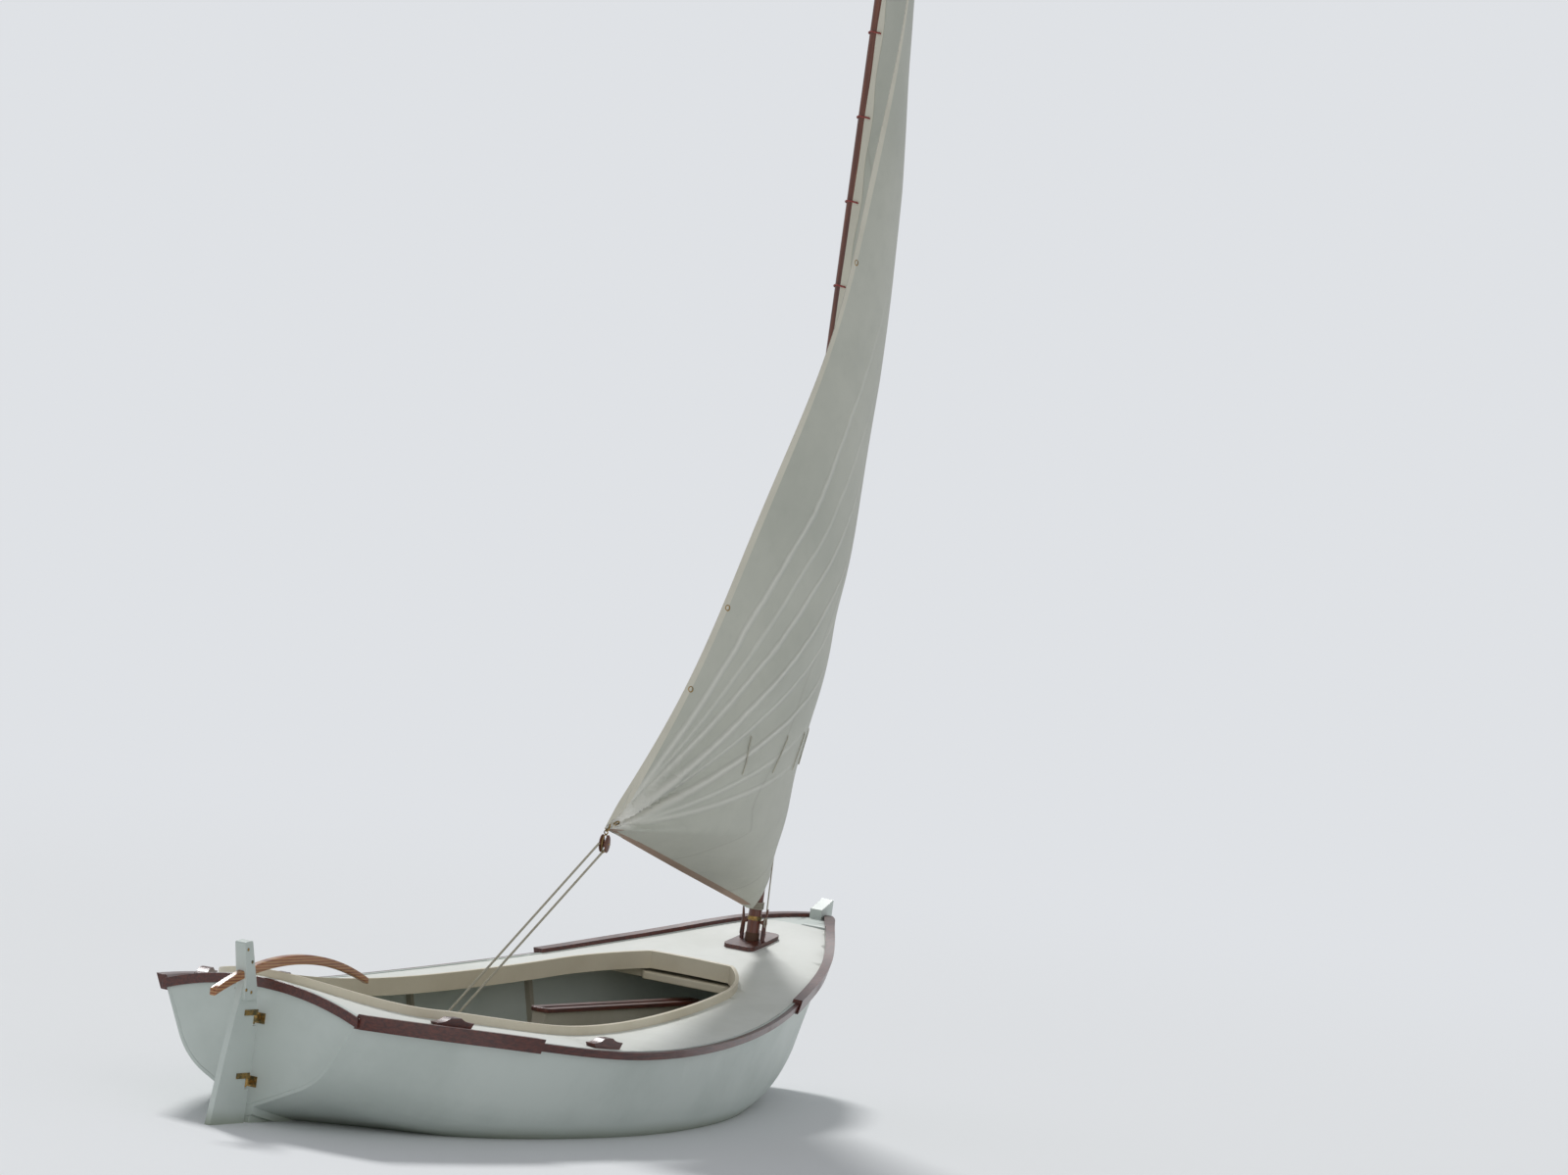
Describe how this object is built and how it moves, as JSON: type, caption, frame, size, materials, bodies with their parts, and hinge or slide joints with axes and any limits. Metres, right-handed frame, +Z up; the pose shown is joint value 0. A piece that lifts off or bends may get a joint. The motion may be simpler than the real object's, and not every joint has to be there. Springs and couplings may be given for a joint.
{
  "type": "half-decked wooden sailing dinghy with a boomless laced sail",
  "caption": "Small half-decked sailing dinghy with a crowned transom, dark rails, an unstayed mast and a tall boomless sail laced to it.",
  "frame": {"origin": "amidships on the centreline, at the waterline", "axes": "+X forward, +Y to port, +Z up"},
  "size_m": [4.769, 1.76, 6.68],
  "materials": {
    "white_paint": "gloss paint",
    "deck_paint": "satin paint",
    "cream_paint": "gloss paint",
    "inside_paint": "satin paint",
    "rail_varnish": "dark gloss varnish",
    "spar_varnish": "gloss varnish",
    "tiller_varnish": "gloss varnish",
    "board_varnish": "varnish",
    "sailcloth": "woven",
    "lacing": "rope",
    "block_wood": "varnish",
    "bronze": "weathered"
  },
  "bodies": {
    "hull": {"aft_deck": "deck_paint", "belaying_pins": "rail_varnish", "board_pin": "bronze", "bow_eye": "bronze", "bow_rail_port": "rail_varnish", "bow_rail_starboard": "rail_varnish", "case_cap": "rail_varnish", "centreboard_case": "inside_paint", "coaming_aft": "cream_paint", "coaming_forward": "cream_paint", "coaming_port": "cream_paint", "coaming_starboard": "cream_paint", "floor_timbers": "inside_paint", "floorboards": "inside_paint", "foredeck": "deck_paint", "gudgeons": "bronze", "hull_shell_aft_port": "white_paint", "hull_shell_aft_starboard": "white_paint", "hull_shell_fore_port": "white_paint", "hull_shell_fore_starboard": "white_paint", "hull_shell_middle_port": "white_paint", "hull_shell_middle_starboard": "white_paint", "keel": "white_paint", "mast_partner": "rail_varnish", "mast_step": "inside_paint", "mast_thwart": "cream_paint", "mid_thwart": "inside_paint", "quarter_rail_port": "rail_varnish", "quarter_rail_starboard": "rail_varnish", "ribs": "inside_paint", "rowlock_chock_1_port": "rail_varnish", "rowlock_chock_1_starboard": "rail_varnish", "rowlock_chock_2_port": "rail_varnish", "rowlock_chock_2_starboard": "rail_varnish", "rub_rail_port": "rail_varnish", "rub_rail_starboard": "rail_varnish", "side_deck_port": "deck_paint", "side_deck_starboard": "deck_paint", "skeg": "white_paint", "stem": "white_paint", "stern_seat": "inside_paint", "thwart_block": "block_wood", "transom": "white_paint", "transom_rail": "rail_varnish"},
    "rig": {"mast": "spar_varnish", "sail": "sailcloth", "lacing_hoops": "lacing", "clew_block": "block_wood"},
    "rudder": {"rudder_blade": "white_paint", "rudder_head": "white_paint", "rudder_cheeks": "white_paint", "tiller": "tiller_varnish", "pintles": "bronze"},
    "board": {"centreboard": "board_varnish"}
  },
  "joints": [
    {"name": "rig_turn", "type": "hinge", "parent": "hull", "child": "rig", "pos_m": [1.577, 0, 0.5], "axis": [0, 0, 1], "range_deg": [-96, 73]},
    {"name": "rudder_turn", "type": "hinge", "parent": "hull", "child": "rudder", "pos_m": [-2.234, 0, 0.2], "axis": [0, 0, 1], "range_deg": [-35, 35]},
    {"name": "board_swing", "type": "hinge", "parent": "hull", "child": "board", "pos_m": [1.04, 0, 0.03], "axis": [0, 1, 0], "range_deg": [0, 78]}
  ]
}
